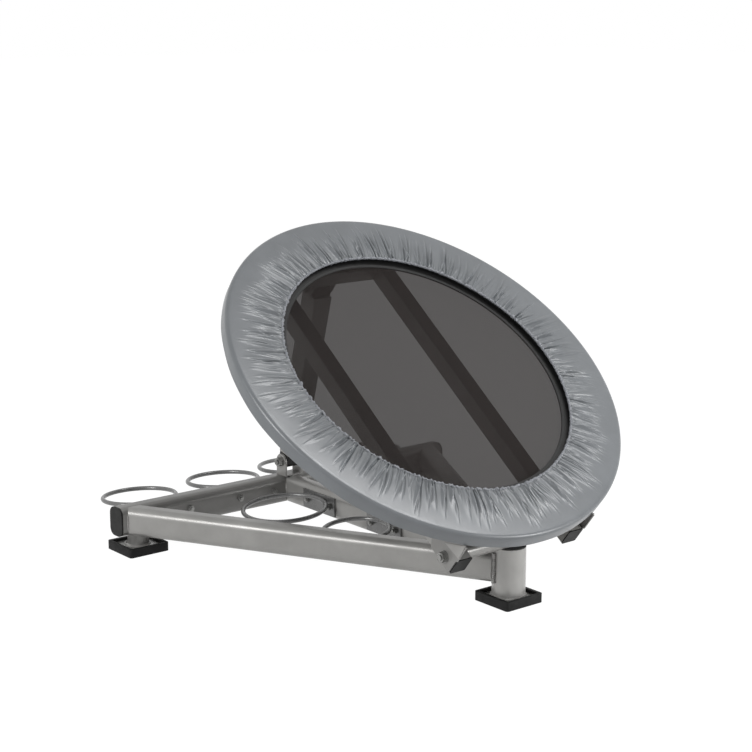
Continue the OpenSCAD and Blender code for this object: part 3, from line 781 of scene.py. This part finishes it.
def make_hem():
    swell = hem_puckers()
    angle = 2 * math.pi * np.arange(HEM_COLUMNS) / HEM_COLUMNS
    middle = OPEN_RADIUS + HEM_THICK + HEM_WAVE_SIZE * np.sin(HEM_WAVES * angle)
    points = np.zeros((HEM_SIDES, HEM_COLUMNS, 3))
    for side in range(HEM_SIDES):
        turn = 2 * math.pi * side / HEM_SIDES
        top = max(0.0, math.sin(turn)) + INNER_SHARE * max(0.0, -math.cos(turn))
        thick = HEM_THICK * (BETWEEN_PUCKERS + PUCKER_SWELL * swell * top)
        out = middle + thick * math.cos(turn)
        up = HEM_MIDDLE_UP + thick * math.sin(turn)
        points[side] = np.stack([out * np.cos(angle), out * np.sin(angle), up], axis=1)
    hem = grid_mesh("hem", points, close_rows=True)
    outward(hem)
    settle(hem, "puckered_hem", "trampoline", HEM, LAY, smooth=60)
    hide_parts("elastic_hem")
    return hem


hem = make_hem()

# %% [markdown]
# The foam is a soft ring with rounded edges. It hides under the cover, where it is seen only from
# below. A ring could be cut from a cylinder, but here its section is drawn as a flat outline and
# spun once round the middle of the pad, because the webbing can then be made the same way.

# %% Foam ring
FOAM_IN = 0.349
FOAM_OUT = 0.4455
FOAM_LOW = -0.0016
FOAM_HIGH = 0.0014
FOAM_STEPS = 180
FOAM_ROUND = 0.0009
SEAM_GAP = 1e-5


def spin_section(name, inside, outside, low, high, steps, rounding):
    """Spins an upright rectangle once round the middle and rounds the ring's edges."""
    corners = [(inside, 0, low), (outside, 0, low), (outside, 0, high), (inside, 0, high)]
    outline = bpy.data.meshes.new(name)
    outline.from_pydata(corners, [(0, 1), (1, 2), (2, 3), (3, 0)], [])
    thing = new_object(name, outline)
    pick(thing)
    bpy.ops.object.mode_set(mode="EDIT")
    bpy.ops.mesh.select_all(action="SELECT")
    bpy.ops.mesh.spin(steps=steps, angle=2 * math.pi, center=(0, 0, 0), axis=(0, 0, 1))
    bpy.ops.mesh.select_all(action="SELECT")
    bpy.ops.mesh.remove_doubles(threshold=SEAM_GAP)
    bpy.ops.mesh.normals_make_consistent(inside=False)
    bpy.ops.object.mode_set(mode="OBJECT")
    round_edges(thing, rounding, segments=2, degrees=40)
    outward(thing)
    return thing


foam = spin_section("foam", FOAM_IN, FOAM_OUT, FOAM_LOW, FOAM_HIGH, FOAM_STEPS, FOAM_ROUND)
settle(foam, "foam_ring", "trampoline", FOAM, LAY)
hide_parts("foam_pad")

# %% [markdown]
# The mat is an open mesh of black plastic thread. From a step away the eye doesn't see the
# threads, only a dark veil with the frame behind it, so the veil's material does the work. The
# mat itself is a thin round sheet, drawn flat by its cords: rings of points, a closed middle and
# a Solidify modifier that gives it its thickness.

# %% Mat
MAT_RADIUS = 0.334
MAT_THICK = 0.0008
MAT_RINGS = 24
MAT_COLUMNS = 144
MAT_CENTRE = 0.002


def make_mat():
    distances = np.linspace(MAT_CENTRE, MAT_RADIUS, MAT_RINGS)
    angle, radius = np.meshgrid(2 * math.pi * np.arange(MAT_COLUMNS) / MAT_COLUMNS, distances)
    up = np.full_like(radius, -MAT_DROP)
    points = np.stack([radius * np.cos(angle), radius * np.sin(angle), up], axis=2)
    sheet = grid_mesh("mat", points, close_rows=False)
    pick(sheet)
    bpy.ops.object.mode_set(mode="EDIT")
    bpy.ops.mesh.select_all(action="DESELECT")
    bpy.ops.object.mode_set(mode="OBJECT")
    for vert in sheet.data.vertices[:MAT_COLUMNS]:
        vert.select = True
    bpy.ops.object.mode_set(mode="EDIT")
    bpy.ops.mesh.edge_face_add()
    bpy.ops.object.mode_set(mode="OBJECT")
    wall = sheet.modifiers.new("wall", "SOLIDIFY")
    wall.thickness = MAT_THICK
    wall.offset = 0
    apply_all(sheet)
    outward(sheet)
    settle(sheet, "mesh_mat", "trampoline", MESH, LAY)
    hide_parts("mat")
    return sheet


mat = make_mat()

# %% [markdown]
# Black webbing is sewn round the mat's edge, folded over it, with two rows of stitches. A row of
# stitches could be a pattern in the material, but it would have no shadow. The stitches are
# short bars, so one is modelled and its points are turned to each place round both rows.

# %% Webbing and its stitches
BAND_IN = 0.319
BAND_OUT = 0.350
BAND_THICK = 0.0046
BAND_STEPS = 240
BAND_ROUND = 0.0012
STITCH_LONG = 0.0042
STITCH_RADIUS = 0.0005
STITCH_ROWS = (BAND_IN + 0.004, BAND_OUT - 0.005)
STITCH_UP = -MAT_DROP + BAND_THICK / 2 + 0.0001
STITCHES = 360


def make_stitches():
    deselect()
    along_y = (math.pi / 2, 0, 0)
    bpy.ops.mesh.primitive_cylinder_add(vertices=6, radius=STITCH_RADIUS, depth=STITCH_LONG, rotation=along_y)
    bar = bpy.context.object
    bpy.ops.object.transform_apply(location=False, rotation=True, scale=False)
    shape = np.array([v.co for v in bar.data.vertices])
    faces = [tuple(p.vertices) for p in bar.data.polygons]
    bpy.data.objects.remove(bar)
    points = []
    polygons = []
    for row in STITCH_ROWS:
        for i in range(STITCHES):
            turn = 2 * math.pi * i / STITCHES
            cos, sin = math.cos(turn), math.sin(turn)
            spin = np.array([[cos, -sin, 0], [sin, cos, 0], [0, 0, 1]])
            start = len(points)
            points.extend(((shape + (row, 0, STITCH_UP)) @ spin.T).tolist())
            polygons.extend(tuple(start + v for v in face) for face in faces)
    mesh = bpy.data.meshes.new("stitches")
    mesh.from_pydata(points, [], polygons)
    return new_object("stitches", mesh)


band_low = -MAT_DROP - BAND_THICK / 2
band_high = -MAT_DROP + BAND_THICK / 2
band = spin_section("band", BAND_IN, BAND_OUT, band_low, band_high, BAND_STEPS, BAND_ROUND)
settle(band, "mat_webbing", "trampoline", WEBBING, LAY)
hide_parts("mat_band")
stitches = make_stitches()
settle(stitches, "webbing_stitches", "trampoline", THREAD, LAY)

# %% [markdown]
# The mat hangs in elastic cords. Each cord leaves the webbing, goes round the ring of steel tube
# and comes back beside itself. A bent cylinder would kink, so it is drawn as a smooth curve with
# a round section, turned into a mesh, and copied round the ring.

# %% Elastic cords
CORDS = 24
CORD_RADIUS = 0.0025
CORD_GAP = 0.0002
CORD_REACH = 0.012
LOOP_START = 205
LOOP_STEP = 24
LOOP_APART = 0.003
# Each run of a cord has an end in the webbing and a point outside it, with its place across the
# cord and its height against the mat
FIRST_RUN = ((BAND_OUT - CORD_REACH, -0.004, -0.001), (BAND_OUT + CORD_REACH, -0.0036, 0.0))
LAST_RUN = ((BAND_OUT + CORD_REACH, 0.0036, -0.002), (BAND_OUT - CORD_REACH, 0.004, -0.003))


def cord_route():
    """The points of one cord: a run out, once round the steel ring, and a run back."""
    loop = RING_TUBE + CORD_RADIUS + CORD_GAP
    points = [(out, across, -MAT_DROP + up) for out, across, up in FIRST_RUN]
    for gone in range(0, 361, LOOP_STEP):
        turn = math.radians(LOOP_START - gone)
        across = -LOOP_APART + 2 * LOOP_APART * gone / 360
        points.append((RING_RADIUS + loop * math.cos(turn), across, -BELOW_RING + loop * math.sin(turn)))
    points += [(out, across, -MAT_DROP + up) for out, across, up in LAST_RUN]
    return points


def make_cord():
    data = bpy.data.curves.new("cord", "CURVE")
    data.dimensions = "3D"
    data.bevel_depth = CORD_RADIUS
    data.bevel_resolution = 2
    data.resolution_u = 4
    data.use_fill_caps = True
    line = data.splines.new("NURBS")
    route = cord_route()
    line.points.add(len(route) - 1)
    for point, place in zip(line.points, route):
        point.co = (*place, 1)
    line.order_u = 3
    line.use_endpoint_u = True
    pick(new_object("cord", data))
    bpy.ops.object.convert(target="MESH")
    return bpy.context.object


def copies_round(thing, count):
    """Copies a piece round the pad's middle and joins the copies."""
    things = []
    for i in range(count):
        copy = new_object(thing.name, thing.data.copy())
        copy.data.transform(Matrix.Rotation(2 * math.pi * i / count, 4, "Z"))
        things.append(copy)
    bpy.data.objects.remove(thing)
    return join(things)


cords = copies_round(make_cord(), CORDS)
outward(cords)
settle(cords, "elastic_cords", "trampoline", CORD, LAY, smooth=60)
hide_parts("bungee_cords")

# %% [markdown]
# Weld beads join the steel. A bead is a row of overlapping drops. A curve with a round section
# would be quicker, but it would look like wire, and no operator draws such lumps. So a bead is
# worked out in code: a thin tube along the joint, whose thickness swells and shrinks with each
# drop.

# %% Weld beads
DROP_LONG = 0.0042
DROP_ROWS = 4
FEWEST_ROWS = 6
# Shares of a bead's radius: between two drops, what a drop adds, a slow wander with its rate
# for each metre, and the thin end
DROP_SWELL = (0.82, 0.30)
BEAD_WANDER = (0.10, 310)
BEAD_END = 0.3
BEAD_SIDES = 8
# A direction counts as upright when its z is over this
UPRIGHT = 0.9


def bead_rows(path, closed):
    """The middle, direction and distance of each row of points along a bead."""
    lengths = [0.0]
    for a, b in zip(path, path[1:]):
        lengths.append(lengths[-1] + (b - a).length)
    steps = max(FEWEST_ROWS, int(lengths[-1] / (DROP_LONG / DROP_ROWS)))
    k = 0
    for s in range(steps if closed else steps + 1):
        far = lengths[-1] * s / steps
        while k < len(path) - 2 and lengths[k + 1] < far:
            k += 1
        share = (far - lengths[k]) / max(1e-9, lengths[k + 1] - lengths[k])
        before = path[max(0, k - 1)] if k or not closed else path[-2]
        at_end = not closed and s in (0, steps)
        yield path[k].lerp(path[k + 1], share), (path[k + 1] - before).normalized(), far, at_end


def weld_along(points, radius, closed=False):
    """A lumpy tube along a list of points."""
    phase = random.Random(len(points)).uniform(0, 6)
    path = [Vector(p) for p in points]
    if closed:
        path.append(path[0])
    rows = []
    for middle, along, far, at_end in bead_rows(path, closed):
        side = along.orthogonal().normalized()
        if abs(along.z) < UPRIGHT:
            side = along.cross(Vector((0, 0, 1))).normalized()
        over = along.cross(side)
        swell = DROP_SWELL[0] + DROP_SWELL[1] * abs(math.sin(math.pi * far / DROP_LONG + phase))
        wide = radius * (swell + BEAD_WANDER[0] * math.sin(far * BEAD_WANDER[1] + phase))
        if at_end:
            wide *= BEAD_END
        turns = [2 * math.pi * i / BEAD_SIDES for i in range(BEAD_SIDES)]
        rows.append([list(middle + wide * (math.cos(t) * side + math.sin(t) * over)) for t in turns])
    thing = grid_mesh("weld", np.array(rows), close_rows=closed)
    if not closed:
        shape = bmesh.new()
        shape.from_mesh(thing.data)
        shape.verts.ensure_lookup_table()
        shape.faces.new(shape.verts[:BEAD_SIDES])
        shape.faces.new(shape.verts[-BEAD_SIDES:][::-1])
        shape.to_mesh(thing.data)
        shape.free()
    outward(thing)
    return thing


# %% [markdown]
# Beads lie where the photograph shows them: round the foot of the post and of the two rear stubs,
# and upright in the corners between the tubes. Those beside the post are thicker, because they
# also close the gap where a tube that is cut straight meets the round post. Heights could be
# typed in, but the boxes of the steel pieces give them exactly.

# %% Beads at the post, the feet and the base tubes
POST_RADIUS = 0.035
POST_BEAD = 0.0026
POST_BEAD_OUT = 0.0008
POST_BEAD_UP = 0.0012
STUB_RADIUS = 0.024
STUB_IN = 0.0197
STUB_BEAD = 0.0024
STUB_BEAD_OUT = 0.0006
STUB_BEAD_UP = 0.001
SIDE_CORNER = (0.0374, 0.0064)
SIDE_BEAD = 0.0040
SIDE_SHORT = 0.001
BACK_CORNERS = (0.4546, 0.3974, 0.020)
BACK_BEAD = 0.0020
BACK_SHORT = 0.016
CIRCLE_STEP = 10

plate_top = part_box("front_post")[0].z
stub_low, stub_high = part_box("left_foot_stub")
stub_x = abs((stub_low.x + stub_high.x) / 2)
stub_y = stub_high.y - STUB_IN
tube_low, tube_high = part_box("back_tube")
print("post foot at", round(plate_top, 4), "tube from", round(tube_low.z, 4), "to", round(tube_high.z, 4))


def circle_points(middle, radius):
    turns = [math.radians(degrees) for degrees in range(0, 360, CIRCLE_STEP)]
    return [(middle[0] + radius * math.cos(t), middle[1] + radius * math.sin(t), middle[2]) for t in turns]


def upright(x, y, low, high):
    return [(x, y, low), (x, y, (low + high) / 2), (x, y, high)]


post = (0, 0, plate_top + POST_BEAD_UP)
beads = [weld_along(circle_points(post, POST_RADIUS + POST_BEAD_OUT), POST_BEAD, closed=True)]
for side in (-1, 1):
    stub = (side * stub_x, stub_y, plate_top + STUB_BEAD_UP)
    beads.append(weld_along(circle_points(stub, STUB_RADIUS + STUB_BEAD_OUT), STUB_BEAD, closed=True))
    corner = upright(side * SIDE_CORNER[0], SIDE_CORNER[1], tube_low.z, tube_high.z - SIDE_SHORT)
    beads.append(weld_along(corner, SIDE_BEAD))
    for x in BACK_CORNERS:
        corner = upright(side * x, tube_low.y, tube_low.z + BACK_SHORT, tube_high.z - BACK_SHORT)
        beads.append(weld_along(corner, BACK_BEAD))
base_welds = join(beads)
settle(base_welds, "base_welds", "base", WELD, smooth=60)

# %% [markdown]
# The feet are moulded rubber trays, square with rounded corners. The tray holds a steel plate, and
# its rim stands up round the plate. A tray could be cut out with a Boolean, but it is cleaner to
# model it as by hand: a box is inset on top, the inner face is pushed down to the plate, and a
# bevel rounds all the edges.

# %% Rubber feet
FOOT_WALL = 0.0078
PLATE_SEAT = 0.008
CORNER_ROUND = 0.006
CORNER_SEGMENTS = 4
EDGE_ROUND = 0.0011


def round_corners(foot):
    """Bevels the four upright edges of a box."""
    corners = foot.modifiers.new("corners", "BEVEL")
    corners.width = CORNER_ROUND
    corners.segments = CORNER_SEGMENTS
    corners.limit_method = "WEIGHT"
    weights = foot.data.attributes.new("bevel_weight_edge", "FLOAT", "EDGE")
    for edge in foot.data.edges:
        a, b = (foot.data.vertices[i].co for i in edge.vertices)
        weights.data[edge.index].value = 1.0 if abs(a.z - b.z) > PLATE_SEAT else 0.0
    apply_all(foot)


def make_foot(node, name):
    low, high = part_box(node)
    size = high - low
    deselect()
    bpy.ops.mesh.primitive_cube_add(size=1, location=(low + high) / 2)
    foot = bpy.context.object
    foot.scale = size
    bpy.ops.object.transform_apply(location=True, rotation=False, scale=True)
    round_corners(foot)
    bpy.ops.object.mode_set(mode="EDIT")
    bpy.ops.mesh.select_mode(type="FACE")
    bpy.ops.mesh.select_all(action="DESELECT")
    bpy.ops.object.mode_set(mode="OBJECT")
    for face in foot.data.polygons:
        face.select = face.normal.z > UPRIGHT
    bpy.ops.object.mode_set(mode="EDIT")
    bpy.ops.mesh.inset(thickness=FOOT_WALL, depth=0)
    bpy.ops.mesh.extrude_region_move(TRANSFORM_OT_translate={"value": (0, 0, PLATE_SEAT - size.z)})
    bpy.ops.object.mode_set(mode="OBJECT")
    round_edges(foot, EDGE_ROUND, segments=3, degrees=50)
    outward(foot)
    settle(foot, name, "base", RUBBER, smooth=40)
    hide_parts(node)


for place in ("front", "left", "right"):
    make_foot(place + "_foot_rubber", place + "_rubber_foot")

# %% [markdown]
# The gusset beside each rail's end is stiffened by a folded lip, a small triangle that stands
# proud of the plate. A paint line could hint at it, but a fold catches the light on its edge. It
# is a circle with three corners, moved to their places, extruded and bevelled.

# %% Gusset lips
LIP_CORNERS = ((-0.0045, 0.1620), (-0.0655, 0.1695), (-0.0455, 0.1385))
LIP_THICK = 0.0016
LIP_SUNK = 0.0004
LIP_ROUND = 0.0005


def make_lip(side, name):
    low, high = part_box("left_gusset" if side < 0 else "right_gusset")
    face_x = low.x if side < 0 else high.x
    deselect()
    bpy.ops.mesh.primitive_circle_add(vertices=3, fill_type="NGON")
    lip = bpy.context.object
    for vert, (y, z) in zip(lip.data.vertices, LIP_CORNERS):
        vert.co = (face_x - side * LIP_SUNK, y, z)
    bpy.ops.object.mode_set(mode="EDIT")
    bpy.ops.mesh.select_all(action="SELECT")
    bpy.ops.mesh.extrude_region_move(TRANSFORM_OT_translate={"value": (side * LIP_THICK, 0, 0)})
    bpy.ops.mesh.select_all(action="SELECT")
    bpy.ops.mesh.normals_make_consistent(inside=False)
    bpy.ops.object.mode_set(mode="OBJECT")
    round_edges(lip, LIP_ROUND, segments=2, degrees=40)
    outward(lip)
    settle(lip, name, "trampoline", SILVER, smooth=30)


make_lip(-1, "left_gusset_lip")
make_lip(1, "right_gusset_lip")

# %% [markdown]
# A pale floor carries the object. More lamps would make it white, but they would bleach the
# object too. Instead its material asks which kind of ray arrives: the camera and gloss on the
# steel see it as white, light that bounces finds plain pale grey, and a part of it stays diffuse
# for all rays, so that it still takes a soft shadow.

# %% Floor and background
FLOOR_SIZE = 60.0
FLOOR_COLOUR = (0.8, 0.8, 0.8)
FLOOR_GLOW = 1.12
SHADOW_SHARE = 0.12
WORLD_LIGHT = 0.20


def seen_directly(tree):
    """One for camera, glossy and transmission rays, and zero for light that bounces."""
    path = add(tree, "ShaderNodeLightPath")
    first = math_node(tree, "MAXIMUM", path.outputs["Is Camera Ray"], path.outputs["Is Glossy Ray"])
    return math_node(tree, "MAXIMUM", first, path.outputs["Is Transmission Ray"])


def make_floor():
    bpy.ops.mesh.primitive_plane_add(size=FLOOR_SIZE, location=(0, 0, 0))
    floor = bpy.context.object
    floor.name = "floor"
    material, tree, matt = new_material("floor", FLOOR_COLOUR, 0.9, specular=0.1)
    white = add(tree, "ShaderNodeEmission")
    white.inputs["Strength"].default_value = FLOOR_GLOW
    blend = add(tree, "ShaderNodeMixShader")
    share = math_node(tree, "MULTIPLY", seen_directly(tree), 1 - SHADOW_SHARE)
    tree.links.new(share, blend.inputs["Fac"])
    tree.links.new(matt.outputs["BSDF"], blend.inputs[1])
    tree.links.new(white.outputs["Emission"], blend.inputs[2])
    tree.links.new(blend.outputs["Shader"], tree.nodes["Material Output"].inputs["Surface"])
    floor.data.materials.append(material)
    floor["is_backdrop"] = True


def make_world():
    world = bpy.data.worlds.new("studio")
    world.use_nodes = True
    bpy.context.scene.world = world
    tree = world.node_tree
    background = tree.nodes["Background"]
    background.inputs["Color"].default_value = (1, 1, 1, 1)
    strength = remap(tree, seen_directly(tree), 0, 1, WORLD_LIGHT, 1.0)
    tree.links.new(strength, background.inputs["Strength"])


make_floor()
make_world()
print("floor", FLOOR_SIZE, "m wide")

# %% [markdown]
# Three soft lamps shape the object. The ones on the left and above light the same flank of each
# gather, so it has a bright side and a dark one, and the inner sides of the base stay in the
# pad's shade. The weaker one at the right front shows the post as round. One lamp over the camera
# would be simpler, but it would light both flanks alike and wipe the gathers out.

# %% Lamps
def make_lamp(name, place, target, size, power):
    data = bpy.data.lights.new(name, "AREA")
    data.shape = "RECTANGLE"
    data.size, data.size_y = size
    data.energy = power
    away = (Vector(place) - Vector(target)).normalized()
    turn = away.to_track_quat("Z", "Y").to_matrix().to_4x4()
    new_object(name, data).matrix_world = Matrix.Translation(place) @ turn
    print("lamp", name, power, "W")


make_lamp("left", place=(-2.70, 0.35, 1.30), target=(0, 0.25, 0.3), size=(1.0, 1.0), power=44)
make_lamp("above", place=(1.20, -0.80, 3.15), target=(0, 0.25, 0.4), size=(0.9, 2.0), power=66)
make_lamp("front", place=(1.10, -1.70, 0.50), target=(0, 0, 0.25), size=(0.7, 0.7), power=24)

# %% [markdown]
# At the end the script notes the size of the steel model and of the dressed one, and looks at
# standard colours without any film look.

# %% Size and finish
bpy.context.scene.view_settings.view_transform = "Standard"
look_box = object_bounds()
[[list(corner) for corner in box] for box in (cad_box, look_box)]
print("grown by", [round(a - b, 4) for a, b in zip(look_box[1] - look_box[0], cad_box[1] - cad_box[0])])
